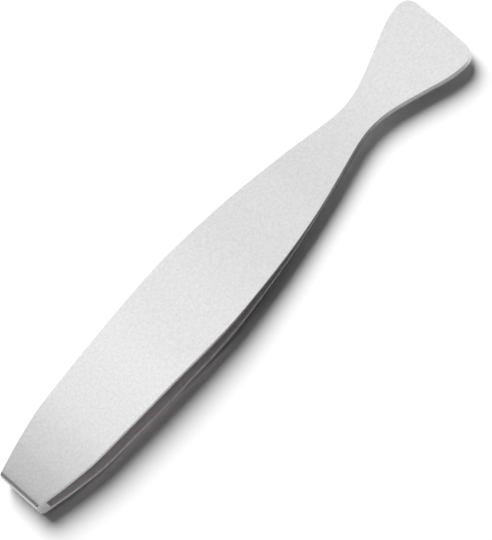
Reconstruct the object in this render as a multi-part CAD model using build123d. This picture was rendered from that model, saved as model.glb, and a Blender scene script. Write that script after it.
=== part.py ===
from build123d import *
import os

# Fish tongs: two spring leaves of sheet steel that bow apart in the middle, are turned in
# to a thick jaw at the tip, and lie flat on each other at the tail, where they are spot welded.
# X runs from the jaws to the tail, Y across, Z up. The origin is the middle of the base,
# and the two leaves mirror each other about a level plane half way up.

# Driving sizes, in millimetres
overall_length = 150.0
belly_height = 8.4
sheet = 1.2

# Outline from above, each width measured from the middle line to one side
jaw_half_width = 6.2
jaw_corner_radius = 0.6
shoulder_from_tip = 7.0
shoulder_half_width = 7.9
belly_from_tip = 62.6
belly_half_width = 12.0
neck_before_end = 30.2
neck_half_width = 4.3
fin_before_end = 3.7
fin_half_width = 11.4
fin_corner_radius = 3.3
tail_bow = 0.3

# Side view of one leaf, each height measured from the plane between the leaves
jaw_drop = 1.0
bend_radius = 1.5
bend_angle = 86.6
lip_length = 2.7
lip_root_radius = 0.4
jaw_gap = 0.1
crest_from_tip = 35.0
meeting_from_tip = 99.0
flex_before_meeting = 3.0
flex_gap = 0.1

# Spot welds under the tail's skin
weld_radius = 1.75
weld_height = 0.8
weld_clearance = 0.05
first_weld_behind_meeting = 6.5
last_weld_before_end = 10.0
weld_count = 3

overrun = 5.0

# Points between two named places: share of the way along, share of the way up or down
belly_rise_shares = ((0.079, 0.217), (0.171, 0.441), (0.279, 0.566), (0.486, 0.729), (0.701, 0.861))
neck_fall_shares = ((0.15, 0.048), (0.35, 0.173), (0.55, 0.375), (0.75, 0.66), (0.9, 0.909))
fin_rise_shares = ((0.204, 0.092), (0.419, 0.343), (0.634, 0.648), (0.849, 0.923))
crest_rise_shares = ((0.5, 0.75),)
crest_fall_shares = ((0.18, 0.053), (0.297, 0.167), (0.484, 0.407), (0.672, 0.643), (0.828, 0.843), (0.922, 0.96))

tip = -overall_length / 2
tail_end = overall_length / 2
middle_height = belly_height / 2
jaw_half_height = middle_height - jaw_drop


def from_tip(distance):
    return tip + distance


def curve_between(start, end, shares, start_direction, end_direction):
    """A smooth curve from start to end through the shares of the way between them."""
    start, end = Vector(start), Vector(end)
    way = end - start
    between = [start + Vector(along * way.X, rise * way.Y) for along, rise in shares]
    return Spline([start, *between, end], tangents=(start_direction, end_direction))


def leaf_outline():
    """The leaf seen from above: a tapered snout, a long belly, a narrow neck and a flared fin."""
    level = (1, 0)
    jaw = (tip, jaw_half_width)
    shoulder = (from_tip(shoulder_from_tip), shoulder_half_width)
    belly = (from_tip(belly_from_tip), belly_half_width)
    neck = (tail_end - neck_before_end, neck_half_width)
    fin = (tail_end - fin_before_end, fin_half_width)
    corner = (tail_end - tail_bow, fin_half_width)
    taper_direction = (shoulder[0] - jaw[0], shoulder[1] - jaw[1])
    side = Curve() + [
        Line(jaw, shoulder),
        curve_between(shoulder, belly, belly_rise_shares, taper_direction, level),
        curve_between(belly, neck, neck_fall_shares, level, level),
        curve_between(neck, fin, fin_rise_shares, level, level),
        Line(fin, corner),
    ]
    far_jaw = (jaw[0], -jaw[1])
    far_corner = (corner[0], -corner[1])
    front = Line(far_jaw, jaw)
    back = ThreePointArc(corner, (tail_end, 0), far_corner)
    outline = make_face(Curve() + [side, mirror(side, Plane.XZ), front, back])
    outline = fillet(outline.vertices().group_by(Axis.X)[0], jaw_corner_radius)
    return fillet(outline.vertices().group_by(Axis.X)[-1], fin_corner_radius)


def leaf_profile():
    """The leaf seen from the side, above the plane between the leaves: bow, tail, bend and lip."""
    level = (1, 0)
    jaw_face = jaw_gap / 2
    bend_start = (tip, jaw_half_height - bend_radius)
    bend = JernArc(bend_start, (0, 1), bend_radius, -bend_angle)
    bend_end = bend @ 1
    crest = (from_tip(crest_from_tip), middle_height)
    meeting = (from_tip(meeting_from_tip), sheet)
    top = [
        curve_between(bend_end, crest, crest_rise_shares, bend % 1, level),
        curve_between(crest, meeting, crest_fall_shares, level, level),
        Line(meeting, (tail_end, sheet)),
    ]
    underside = [curve.moved(Location((0, -sheet))) for curve in top]
    under_bend = bend_end - Vector(0, sheet)
    ends = [Line((tail_end, sheet), (tail_end, 0)), Line(under_bend, bend_end)]
    bowed_sheet = make_face(Curve() + [*top, *underside, *ends])
    lip_back = from_tip(lip_length)
    inside_sheet = (lip_back, bend_end.Y - sheet / 2)
    lip = make_face(Curve() + [
        bend,
        Polyline(bend_end, inside_sheet, (lip_back, jaw_face), (tip, jaw_face), bend_start),
    ])
    profile = bowed_sheet + lip
    root = profile.vertices().sort_by_distance((lip_back, bend_end.Y - sheet))[0]
    return fillet(root, lip_root_radius)


def whole_leaf():
    """The side view carried across the full width, cut to the outline from above."""
    across = extrude(Plane.XZ * leaf_profile(), belly_half_width + overrun, both=True)
    upright = extrude(leaf_outline(), belly_height)
    return (across & upright).moved(Location((0, 0, middle_height)))


def weld_places():
    """Centres of the spot welds, evenly spaced along the middle of the tail."""
    first = from_tip(meeting_from_tip + first_weld_behind_meeting)
    last = tail_end - last_weld_before_end
    pitch = (last - first) / (weld_count - 1)
    return [Pos(first + index * pitch, 0, middle_height) for index in range(weld_count)]


def weld_discs(radius):
    """One short cylinder at each weld, half of it in either leaf."""
    return [place * Cylinder(radius, weld_height) for place in weld_places()]


upper_leaf = whole_leaf()
flex_line = from_tip(meeting_from_tip - flex_before_meeting)
arm_side = Plane((flex_line - flex_gap / 2, 0, 0), z_dir=(1, 0, 0))
tail_side = Plane((flex_line + flex_gap / 2, 0, 0), z_dir=(1, 0, 0))
upper_arm = split(upper_leaf, bisect_by=arm_side, keep=Keep.BOTTOM)
upper_tail = split(upper_leaf, bisect_by=tail_side, keep=Keep.TOP)
for pocket in weld_discs(weld_radius + weld_clearance):
    upper_tail -= pocket

mirror_plane = Plane((0, 0, middle_height), z_dir=(0, 0, 1))
nodes = {
    "upper_arm": upper_arm,
    "upper_tail": upper_tail,
    "lower_arm": mirror(upper_arm, mirror_plane),
    "lower_tail": mirror(upper_tail, mirror_plane),
    "spot_welds": Compound(children=weld_discs(weld_radius)),
}

os.makedirs("parts", exist_ok=True)
for name, solid in nodes.items():
    export_step(solid, f"parts/{name}.step")
    print(name, "volume", round(solid.volume, 1))
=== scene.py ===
import math
import bmesh
import bpy
import numpy as np
from mathutils import Matrix, Vector


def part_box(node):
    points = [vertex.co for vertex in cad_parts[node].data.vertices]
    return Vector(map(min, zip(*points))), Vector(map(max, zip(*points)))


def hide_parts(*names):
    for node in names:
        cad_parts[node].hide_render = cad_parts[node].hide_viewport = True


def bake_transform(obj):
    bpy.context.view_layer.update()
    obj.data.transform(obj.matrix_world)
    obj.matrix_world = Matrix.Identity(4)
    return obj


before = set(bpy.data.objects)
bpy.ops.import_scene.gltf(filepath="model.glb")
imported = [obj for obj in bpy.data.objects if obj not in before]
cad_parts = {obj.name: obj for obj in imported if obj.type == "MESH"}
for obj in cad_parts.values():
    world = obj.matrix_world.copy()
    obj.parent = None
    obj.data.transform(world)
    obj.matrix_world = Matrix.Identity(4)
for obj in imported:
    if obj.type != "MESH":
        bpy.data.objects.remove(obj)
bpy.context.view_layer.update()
mm = 0.001  # one millimetre in metres
print("frame loaded:", ", ".join(sorted(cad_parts)))

armLow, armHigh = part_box("upper_arm")
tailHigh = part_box("upper_tail")[1]
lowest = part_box("lower_arm")[0]

# one leaf: after the first three, places are measured from the tip, widths from the middle line
# to one side, and heights from the level plane between the leaves
leafShape = {
    "tip": armLow.x,  # front face of the jaws
    "tail": tailHigh.x,  # end of the fin
    "middle": (armHigh.z + lowest.z) / 2,  # that level plane
    "crestHeight": (armHigh.z - lowest.z) / 2,  # outer skin at the crest
    "sheet": 1.2 * mm,  # thickness of the steel
    "jawWidth": 6.2 * mm,
    "jawCorner": 0.6 * mm,
    "shoulderAt": 7.0 * mm,
    "shoulderWidth": 7.9 * mm,
    "bellyAt": 62.6 * mm,
    "bellyWidth": armHigh.y,
    "neckAt": 119.8 * mm,
    "neckWidth": 4.3 * mm,
    "finAt": 146.3 * mm,
    "finWidth": 11.4 * mm,
    "finCorner": 3.3 * mm,
    "tailBow": 0.3 * mm,  # how far the fin's middle stands out past its corners
    "tailBowLength": 8.0 * mm,  # the stretch before the end that the bow fades over
    "jawHeight": 3.2 * mm,
    "jawGap": 0.05 * mm,  # half of the gap between the jaws
    "bendRadius": 1.5 * mm,
    "bendAngle": 86.6,  # degrees
    "lip": 2.7 * mm,  # length of the jaw's face
    "lipRoot": 0.4 * mm,
    "crestAt": 35.0 * mm,
    "meetingAt": 99.0 * mm,
    "arris": 0.05 * mm,  # how far every sharp edge is eased
    # from here on, how fine its mesh is
    "stations": 190,  # rings along the leaf, apart from the close ones at its ends
    "cornerRings": 9,  # rings round a quarter turn at the jaw's corner and the eased edges
    "bendRings": 15,
    "finRings": 19,
    "rootStep": 0.02 * mm,  # from the lip's back face to the first ring of its root
    "closest": 0.004 * mm,  # a ring nearer than this to the one before is left out
    "decimals": 8,  # decimal places kept of a ring's distance in metres
    "across": 18,  # strips over the width of either skin
    "crowding": 0.35,  # how strongly those strips narrow towards the rims, from 0 to 1
    "flatEdge": 0.04 * mm,  # flat strip kept beside each eased edge
    "edgeRows": 5,  # rows round an eased edge, its two ends counted
    "rimShares": (0.0, 0.12, 0.5, 0.88, 1.0),  # rows down the rim
    "merge": 0.001 * mm,  # points nearer than this become one
}

# points between two named places, as shares of the way along and of the way up or down
bellyRiseShares = ((0.079, 0.217), (0.171, 0.441), (0.279, 0.566), (0.486, 0.729), (0.701, 0.861))
neckFallShares = ((0.15, 0.048), (0.35, 0.173), (0.55, 0.375), (0.75, 0.66), (0.9, 0.909))
finRiseShares = ((0.204, 0.092), (0.419, 0.343), (0.634, 0.648), (0.849, 0.923))
crestRiseShares = ((0.5, 0.75),)
crestFallShares = (
    (0.18, 0.053), (0.297, 0.167), (0.484, 0.407), (0.672, 0.643), (0.828, 0.843), (0.922, 0.96),
)


def curveBetween(start, end, shares, startSlope, endSlope, at):
    # cubics through the shared points, with one slope and one bend on both sides of each point
    # and the given slopes at the two ends, read at the distances in at
    way = np.subtract(end, start)
    points = np.array([start, *(np.add(start, way * share) for share in shares), end])
    x, y = points.T
    step = np.diff(x)
    rise = np.diff(y) / step
    system = np.diag(np.r_[2 * step[0], 2 * (step[:-1] + step[1:]), 2 * step[-1]])
    system += np.diag(step, 1) + np.diag(step, -1)
    bend = np.linalg.solve(system, 6 * np.diff(np.r_[startSlope, rise, endSlope]))
    k = np.clip(np.searchsorted(x, at) - 1, 0, len(step) - 1)
    before, after = at - x[k], x[k + 1] - at
    cubic = (bend[k] * after**3 + bend[k + 1] * before**3) / (6 * step[k])
    line = (y[k] / step[k] - bend[k] * step[k] / 6) * after
    return cubic + line + (y[k + 1] / step[k] - bend[k + 1] * step[k] / 6) * before


def roundedBy(radius, distance):
    # height of a quarter circle over its centre's level, at that distance from the centre
    return np.sqrt(np.maximum(radius**2 - distance**2, 0))


def halfWidth(s, x):
    # the outline from above: rounded front corner, straight taper, belly, neck, fin, rounded end
    end = s["tail"] - s["tip"]
    taper = (s["shoulderWidth"] - s["jawWidth"]) / s["shoulderAt"]
    shoulder = (s["shoulderAt"], s["shoulderWidth"])
    belly = (s["bellyAt"], s["bellyWidth"])
    neck = (s["neckAt"], s["neckWidth"])
    fin = (s["finAt"], s["finWidth"])
    width = s["jawWidth"] + taper * x
    stretches = (
        (shoulder, belly, bellyRiseShares, taper),
        (belly, neck, neckFallShares, 0.0),
        (neck, fin, finRiseShares, 0.0),
    )
    for start, stop, shares, slope in stretches:
        here = curveBetween(start, stop, shares, slope, 0.0, np.clip(x, start[0], stop[0]))
        width = np.where(x > start[0], here, width)
    r = s["jawCorner"]
    lean = math.hypot(1.0, taper)
    front = s["jawWidth"] + taper * r - r * lean + roundedBy(r, r - x)
    width = np.where(x < r - r * taper / lean, front, width)
    r = s["finCorner"]
    back = s["finWidth"] - r + roundedBy(r, x - end + r)
    return np.where(x > end - r, back, width)


def skinHeights(s, x):
    # the side view above the middle plane: bend at the tip, rise to the crest, fall, flat tail;
    # the inner skin runs one sheet lower, and ahead of the lip's back it is the jaw's face
    r, a = s["bendRadius"], math.radians(s["bendAngle"])
    bendEnd = (r - r * math.cos(a), s["jawHeight"] - r + r * math.sin(a))
    crest = (s["crestAt"], s["crestHeight"])
    meeting = (s["meetingAt"], s["sheet"])
    onRise, onFall = np.clip(x, bendEnd[0], crest[0]), np.clip(x, crest[0], meeting[0])
    rise = curveBetween(bendEnd, crest, crestRiseShares, 1 / math.tan(a), 0.0, onRise)
    fall = curveBetween(crest, meeting, crestFallShares, 0.0, 0.0, onFall)
    outer = np.where(x < crest[0], rise, fall)
    bend = s["jawHeight"] - r + roundedBy(r, r - x)
    outer = np.where(x < bendEnd[0], bend, outer)
    inner = outer - s["sheet"]
    root = s["lipRoot"]
    rootEnd = s["lip"] + root
    drop = root - roundedBy(root, x - rootEnd)
    inner = np.where((x < rootEnd) & (x > s["lip"]), inner - drop, inner)
    return outer, np.where(x <= s["lip"], s["jawGap"], inner)


def easing(distance, radius):
    # how far a quarter-round edge lies back at that distance from the end
    return radius - roundedBy(radius, radius - np.clip(distance, 0, radius))


def stationsAlong(s):
    # close rings where the leaf turns sharply: front corner, bend, lip and fin corner;
    # the steps of a quarter turn are one less the cosine, or the sine, of even angles
    turn = 1 - np.cos(np.linspace(0, math.pi / 2, s["cornerRings"]))
    bendTurn = 1 - np.cos(np.linspace(0, math.radians(s["bendAngle"]), s["bendRings"]))
    finTurn = 1 - np.sin(np.linspace(0, math.pi / 2, s["finRings"]))
    end = s["tail"] - s["tip"]
    lip, ease = s["lip"], s["arris"]
    parts = [
        s["jawCorner"] * turn,
        s["bendRadius"] * bendTurn,
        ease * turn,
        lip - ease * turn,
        lip + s["rootStep"] + s["lipRoot"] * turn,
        np.linspace(lip + 2 * s["lipRoot"], end - s["finCorner"], s["stations"]),
        end - s["finCorner"] * finTurn,
        end - ease * turn,
    ]
    x = np.unique(np.round(np.concatenate(parts), s["decimals"]))
    close = np.r_[False, np.diff(x) < s["closest"]]
    close[-1] = False
    return x[~close]


def leafRings(s):
    # one closed ring round the sheet at each station: outer skin, eased edge, rim, eased edge,
    # inner skin and back; every ring has the same rows, so ring times row is a grid
    x = stationsAlong(s)
    end = s["tail"] - s["tip"]
    ease = s["arris"]
    outer, inner = skinHeights(s, x)
    outer = outer - easing(end - x, ease)
    inner = inner + easing(end - x, ease) + easing(x, ease)
    inner = inner + np.where(x <= s["lip"], easing(s["lip"] - x, ease), 0)
    tall = outer - inner
    width = halfWidth(s, x)
    flat = width - ease

    crowding, rows = s["crowding"], s["across"] + 1
    share = crowding * np.sin(np.linspace(-math.pi / 2, math.pi / 2, rows))
    share = share + (1 - crowding) * np.linspace(-1, 1, rows)
    skin = np.column_stack([-flat, *((flat - s["flatEdge"])[:, None] * share).T, flat])
    turn = np.linspace(0, math.pi / 2, s["edgeRows"])[1:-1]
    cornerOut = ease * np.sin(turn)
    cornerDown = ease * (1 - np.cos(turn))
    rimShares = np.array(s["rimShares"])
    rimDown = ease + (tall - 2 * ease)[:, None] * rimShares

    one = np.ones_like(x)[:, None]
    y = [
        skin,
        flat[:, None] + cornerOut,
        width[:, None] * np.ones_like(rimShares),
        flat[:, None] + cornerOut[::-1],
    ]
    down = [0 * skin, one * cornerDown, rimDown, tall[:, None] - one * cornerDown[::-1]]
    y = np.column_stack([*y, -np.column_stack(y)])
    down = np.column_stack(down)
    down = np.column_stack([down, tall[:, None] - down])
    z = outer[:, None] - down
    x = x[:, None] + 0 * y
    nearEnd = np.clip((x - end + s["tailBowLength"]) / s["tailBowLength"], 0, 1)**2
    x = x - s["tailBow"] * (y / s["finWidth"])**2 * nearEnd
    return x + s["tip"], y, z


def closedEnds(x, y, z):
    # each end is closed by one more ring, pressed flat on the level line half way up the end face
    first = (z[0].max() + z[0].min()) / 2
    last = (z[-1].max() + z[-1].min()) / 2
    x = np.vstack([x[:1], x, x[-1:]])
    y = np.vstack([y[:1], y, y[-1:]])
    return x, y, np.vstack([0 * z[:1] + first, z, 0 * z[-1:] + last])


def gridMesh(name, x, y, z, inside):
    # rings by rows of points, with four-cornered faces between neighbours and round each ring
    rings, rows = x.shape
    grid = np.arange(rings * rows).reshape(rings, rows)
    across = np.roll(grid, -1, axis=1)
    corners = (grid[:-1], grid[1:], across[1:], across[:-1])
    faces = np.stack(corners[::-1] if inside else corners, axis=-1).reshape(-1, 4)
    points = np.stack([x, y, z], axis=-1).reshape(-1, 3)
    mesh = bpy.data.meshes.new(name)
    mesh.from_pydata(points.tolist(), [], faces.tolist())
    mesh.update()
    obj = bpy.data.objects.new(name, mesh)
    bpy.context.scene.collection.objects.link(obj)
    return obj


def mergeDoubles(obj, distance):
    # joins the points that the closing rings leave on top of each other
    mesh = bmesh.new()
    mesh.from_mesh(obj.data)
    bmesh.ops.remove_doubles(mesh, verts=mesh.verts, dist=distance)
    bmesh.ops.dissolve_degenerate(mesh, edges=mesh.edges, dist=distance)
    mesh.to_mesh(obj.data)
    mesh.free()
    obj.data.shade_smooth()


def makeLeaf(name, side):
    # side is 1 for the upper leaf and -1 for its mirror image below the middle plane
    x, y, z = closedEnds(*leafRings(leafShape))
    obj = gridMesh(name, x, y, leafShape["middle"] + side * z, side < 0)
    mergeDoubles(obj, leafShape["merge"])
    return obj


upperLeaf = makeLeaf("upper_leaf", 1)
lowerLeaf = makeLeaf("lower_leaf", -1)
print("leaves:", len(upperLeaf.data.polygons), "faces each")


def linear(hexColour):
    # sRGB hex to linear red, green and blue
    parts = [int(hexColour[i:i + 2], 16) / 255 for i in (0, 2, 4)]
    return [c / 12.92 if c <= 0.04045 else ((c + 0.055) / 1.055)**2.4 for c in parts] + [1.0]


def addNode(tree, kind, settings=None, links=None):
    # adds one node, sets its properties and inputs, and links other nodes' outputs to its inputs
    node = tree.nodes.new(kind)
    for key, value in (settings or {}).items():
        if isinstance(key, str) and hasattr(node, key):
            setattr(node, key, value)
        else:
            node.inputs[key].default_value = value
    for key, source in (links or {}).items():
        tree.links.new(source, node.inputs[key])
    return node


# the fine matt grain that every finish shares
grainValues = {
    "size": 0.7 * mm,  # drawn coarser than the real 0.05 mm, so that it shows
    "depth": 0.0015 * mm,
    "roughness": 0.03,  # how far it takes the roughness up and down
    "tone": 0.3,  # from its darkest to its lightest, as a share of the colour
}

# In each finish, a ramp is pairs of a place along the tongs, in millimetres from the tip, and a
# share. The drift is how much rougher the steel gets where its ramp is 1.
# Satin, the outer skins: 18/10 stainless steel with a fine matt satin finish, which gives a soft
# even sheen with no lines to follow
satinValues = {
    "colour": "E4E4E4",
    "roughness": 0.25,  # where the ramp is 0, as in every finish
    "drift": 0.2,
    "driftRamp": ((0, 1.4), (6, 0.74), (12, 0.28), (24, 0.02), (38, 0.04),
                  (56, 0.4), (86, 0.7), (108, 0.58), (132, 0.37), (150, 0.42)),
}

# Ground, the rims: the cut edges ground smooth, matt and light at the tip, glossier where the
# leaves meet, where painted shade also darkens their colour
groundValues = {
    "colour": "E5E2E3",
    "roughness": 0.15,
    "drift": 0.65,
    "driftRamp": ((0, 1.3), (7, 1.15), (14, 0.85), (28, 0.6), (50, 0.46),
                  (76, 0.05), (112, 0.05), (130, 0.46), (150, 0.46)),
    # painted shade: the rims' colour falls to 0.6 of itself from 76 to 112 mm, where the leaves
    # meet
    "paintedShadeRamp": ((0, 1.0), (50, 1.0), (76, 0.6), (112, 0.6), (126, 1.0), (150, 1.0)),
}

# Rolled, the inner skins: left as the sheet mill rolled them, a soft grey reflection
rolledValues = {
    "colour": "E6E2E4",
    "roughness": 0.33,
    "drift": 0.05,
    "driftRamp": ((0, 1.0), (150, 0.0)),
}

# Fused, the spot welds: bare melted steel as it cooled, dull and a little darker
fusedValues = {
    "colour": "CAC8C7",
    "roughness": 0.5,
    "drift": 0.05,
    "driftRamp": ((0, 1.0), (150, 0.0)),
}


def rampAlong(tree, place, points):
    # shares of grey by the distance from the tip, eased between the points
    parts = addNode(tree, "ShaderNodeSeparateXYZ", None, {"Vector": place.outputs["Object"]})
    ends = {"From Min": leafShape["tip"], "From Max": leafShape["tail"]}
    along = addNode(tree, "ShaderNodeMapRange", ends, {"Value": parts.outputs["X"]})
    ramp = addNode(tree, "ShaderNodeValToRGB", None, {"Fac": along.outputs["Result"]})
    ramp.color_ramp.interpolation = "EASE"
    stops = ramp.color_ramp.elements
    stops.remove(stops[1])
    span = (leafShape["tail"] - leafShape["tip"]) / mm
    for where, share in points:
        stop = stops.new(where / span) if where else stops[0]
        stop.color = (share, share, share, 1)
    return ramp.outputs["Color"]


def makeSteel(name, finish):
    # stainless steel in one finish: the roughness is the finish's own plus its drift times its
    # ramp, the colour is its own times any painted shade ramp, and the grain varies both and the
    # height
    material = bpy.data.materials.new(name)
    material.use_nodes = True
    tree = material.node_tree
    shader = tree.nodes["Principled BSDF"]
    shader.inputs["Metallic"].default_value = 1.0
    shader.inputs["Base Color"].default_value = linear(finish["colour"])  # before the grain
    place = addNode(tree, "ShaderNodeTexCoord")
    grain = addNode(tree, "ShaderNodeTexNoise", {"Scale": 1 / grainValues["size"], "Detail": 1.0},
                    {"Vector": place.outputs["Object"]}).outputs["Fac"]

    smoothest = finish["roughness"] - grainValues["roughness"]
    drift = addNode(tree, "ShaderNodeMath",
                    {"operation": "MULTIPLY_ADD", 1: finish["drift"], 2: smoothest},
                    {0: rampAlong(tree, place, finish["driftRamp"])})
    rough = addNode(tree, "ShaderNodeMath",
                    {"operation": "MULTIPLY_ADD", 1: 2 * grainValues["roughness"]},
                    {0: grain, 2: drift.outputs["Value"]})
    tree.links.new(rough.outputs["Value"], shader.inputs["Roughness"])

    low, high = 1 - grainValues["tone"] / 2, 1 + grainValues["tone"] / 2
    tone = addNode(tree, "ShaderNodeMapRange", {"To Min": low, "To Max": high}, {"Value": grain})
    tone = tone.outputs["Result"]
    # painted shade: where the finish has that ramp, it darkens the colour along the tongs
    if "paintedShadeRamp" in finish:
        paintedShade = rampAlong(tree, place, finish["paintedShadeRamp"])
        tone = addNode(tree, "ShaderNodeMath", {"operation": "MULTIPLY"}, {0: tone, 1: paintedShade})
        tone = tone.outputs["Value"]
    colour = addNode(tree, "ShaderNodeVectorMath",
                     {"operation": "SCALE", 0: linear(finish["colour"])[:3]}, {"Scale": tone})
    tree.links.new(colour.outputs["Vector"], shader.inputs["Base Color"])

    bump = addNode(tree, "ShaderNodeBump", {"Distance": grainValues["depth"], "Strength": 1.0},
                   {"Height": grain})
    tree.links.new(bump.outputs["Normal"], shader.inputs["Normal"])
    return material


satin = makeSteel("satinStainlessSteel", satinValues)
ground = makeSteel("groundEdgeSteel", groundValues)
rolled = makeSteel("rolledInsideSteel", rolledValues)
fused = makeSteel("fusedWeldSteel", fusedValues)
facingShare = 0.6  # part of a face's normal that has to point sideways, or inwards


def finishLeaf(leaf, side):
    # satin on the outer skin and ends, rolled on faces that look inwards, ground on the rims
    for material in (satin, ground, rolled):
        leaf.data.materials.append(material)
    normals = np.empty(len(leaf.data.polygons) * 3)
    leaf.data.polygons.foreach_get("normal", normals)
    normals = normals.reshape(-1, 3)
    sideways = np.abs(normals[:, 1]) > facingShare
    inwards = side * normals[:, 2] < -facingShare
    slots = np.where(inwards, 2, sideways).astype(np.int32)
    leaf.data.polygons.foreach_set("material_index", slots)


finishLeaf(upperLeaf, 1)
finishLeaf(lowerLeaf, -1)
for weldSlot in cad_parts["spot_welds"].material_slots:
    weldSlot.material = fused
print("materials done")

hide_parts("upper_arm", "upper_tail")
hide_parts("lower_arm", "lower_tail")
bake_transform(upperLeaf)
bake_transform(lowerLeaf)

# Angles are in degrees, and azimuths run from +X towards +Y. A patch of the world is full within
# its inside angle of its own direction, and gone past its outside angle.
studio = {
    "floorSize": 12.0,  # metres
    "floorColour": "F7F7F7",
    "sunAzimuth": 68.0,
    "sunElevation": 52.0,
    "sunWidth": 42.0,
    "sunStrength": 4.2,
    "ambient": 0.06,
    "boxAzimuth": 66.0,  # the soft box overhead
    "boxElevation": 80.0,
    "boxInside": 8.6,
    "boxOutside": 55.5,
    "boxBright": 1.185,
    "boxDark": 0.2,
    "flagAzimuth": 165.0,  # a dark flag past the tip
    "flagElevation": 29.0,
    "flagInside": 48.0,
    "flagOutside": 53.0,
    "flagDepth": 0.8,
    "backAzimuth": 88.0,  # a pale wall low behind
    "backElevation": 8.0,
    "backInside": 20.0,
    "backOutside": 44.0,
    "backBright": 0.55,
    "frontAzimuth": -90.0,  # another low in front, for the rims and for views from behind
    "frontElevation": 14.0,
    "frontInside": 8.0,
    "frontOutside": 40.0,
    "frontBright": 0.7,
}


def towards(azimuth, elevation):
    # unit vector from the two angles
    a, e = math.radians(azimuth), math.radians(elevation)
    return Vector((math.cos(a) * math.cos(e), math.sin(a) * math.cos(e), math.sin(e)))


def makeFloor():
    # a plain pale floor, lit to white
    h = studio["floorSize"] / 2
    mesh = bpy.data.meshes.new("floor")
    mesh.from_pydata([(-h, -h, 0), (h, -h, 0), (h, h, 0), (-h, h, 0)], [], [(0, 1, 2, 3)])
    floor = bpy.data.objects.new("floor", mesh)
    bpy.context.scene.collection.objects.link(floor)
    material = bpy.data.materials.new("paintedFloor")
    material.use_nodes = True
    shader = material.node_tree.nodes["Principled BSDF"]
    shader.inputs["Base Color"].default_value = linear(studio["floorColour"])
    shader.inputs["Roughness"].default_value = 1.0
    shader.inputs["Specular IOR Level"].default_value = 0.0
    mesh.materials.append(material)


def makeSun():
    # a wide soft key from behind and a little towards the tail, which throws the shadow forwards
    sun = bpy.data.lights.new("key", "SUN")
    sun.energy = studio["sunStrength"]
    sun.angle = math.radians(studio["sunWidth"])
    lamp = bpy.data.objects.new("key", sun)
    bpy.context.scene.collection.objects.link(lamp)
    aim = towards(studio["sunAzimuth"], studio["sunElevation"])
    lamp.rotation_euler = aim.to_track_quat("Z", "Y").to_euler()
    lamp.visible_glossy = False


def worldPatch(tree, place, name, low, high):
    # a round patch of the world: high in its middle, low outside it, eased between by the cosine
    # of the angle from its direction
    axis = towards(studio[name + "Azimuth"], studio[name + "Elevation"])
    facing = addNode(tree, "ShaderNodeVectorMath", {"operation": "DOT_PRODUCT", 1: axis},
                     {0: place.outputs["Generated"]})
    settings = {
        "interpolation_type": "SMOOTHSTEP",
        "From Min": math.cos(math.radians(studio[name + "Outside"])),
        "From Max": math.cos(math.radians(studio[name + "Inside"])),
        "To Min": low,
        "To Max": high,
    }
    patch = addNode(tree, "ShaderNodeMapRange", settings, {"Value": facing.outputs["Value"]})
    return patch.outputs["Result"]


def makeWorld():
    # white to the camera, the patches to the metal, and a low even fill on the floor
    world = bpy.data.worlds.new("studio")
    bpy.context.scene.world = world
    world.use_nodes = True
    world.cycles.sampling_method = "NONE"
    tree = world.node_tree
    background = tree.nodes["Background"]
    background.inputs["Color"].default_value = (1, 1, 1, 1)
    place = addNode(tree, "ShaderNodeTexCoord")
    box = worldPatch(tree, place, "box", studio["boxDark"], studio["boxBright"])
    flag = worldPatch(tree, place, "flag", 1.0, 1 - studio["flagDepth"])
    back = worldPatch(tree, place, "back", 0.0, studio["backBright"])
    front = worldPatch(tree, place, "front", 0.0, studio["frontBright"])
    soft = addNode(tree, "ShaderNodeMath", {"operation": "MULTIPLY"}, {0: box, 1: flag})
    for wall in (back, front):
        soft = addNode(tree, "ShaderNodeMath", {"operation": "ADD"},
                       {0: soft.outputs["Value"], 1: wall})
    path = addNode(tree, "ShaderNodeLightPath")
    metal = addNode(tree, "ShaderNodeMix", {"data_type": "FLOAT", "A": studio["ambient"]},
                    {"Factor": path.outputs["Is Glossy Ray"], "B": soft.outputs["Value"]})
    seen = addNode(tree, "ShaderNodeMix", {"data_type": "FLOAT", "B": 1.0},
                   {"Factor": path.outputs["Is Camera Ray"], "A": metal.outputs["Result"]})
    tree.links.new(seen.outputs["Result"], background.inputs["Strength"])


cameraView = {
    "target": (0.311 * mm, -4.445 * mm, 4.2 * mm),
    "elevation": 67.978,  # degrees, as are the next two
    "turn": 6.285,
    "roll": -42.355,
    "distance": 1.7354,  # metres, as are the nearest and the farthest that it sees
    "focalPixels": 7327.0,  # focal length in pixels of the picture
    "imageHeight": 540,
    "sensorHeight": 36.0,  # in millimetres, as the camera counts it
    "nearest": 0.05,
    "farthest": 50.0,
}


def makeCamera():
    # looks down on the tongs from the front, turned a little towards the tip, and rolled
    e, t = math.radians(cameraView["elevation"]), math.radians(cameraView["turn"])
    outwards = Vector((-math.sin(t) * math.cos(e), -math.cos(t) * math.cos(e), math.sin(e)))
    right = (-outwards).cross(Vector((0, 0, 1))).normalized()
    up = right.cross(-outwards)
    roll = math.radians(cameraView["roll"])
    right, up = (
        math.cos(roll) * right + math.sin(roll) * up,
        -math.sin(roll) * right + math.cos(roll) * up,
    )
    data = bpy.data.cameras.new("camera")
    data.sensor_fit = "VERTICAL"
    data.sensor_height = cameraView["sensorHeight"]
    data.lens = cameraView["focalPixels"] * data.sensor_height / cameraView["imageHeight"]
    data.clip_start = cameraView["nearest"]
    data.clip_end = cameraView["farthest"]
    camera = bpy.data.objects.new("camera", data)
    bpy.context.scene.collection.objects.link(camera)
    place = Vector(cameraView["target"]) + cameraView["distance"] * outwards
    turned = Matrix((right, up, outwards)).transposed().to_4x4()
    camera.matrix_world = Matrix.Translation(place) @ turned
    bpy.context.scene.camera = camera


makeFloor()
makeSun()
makeWorld()
makeCamera()
bpy.context.scene.view_settings.view_transform = "Standard"
print("studio done")
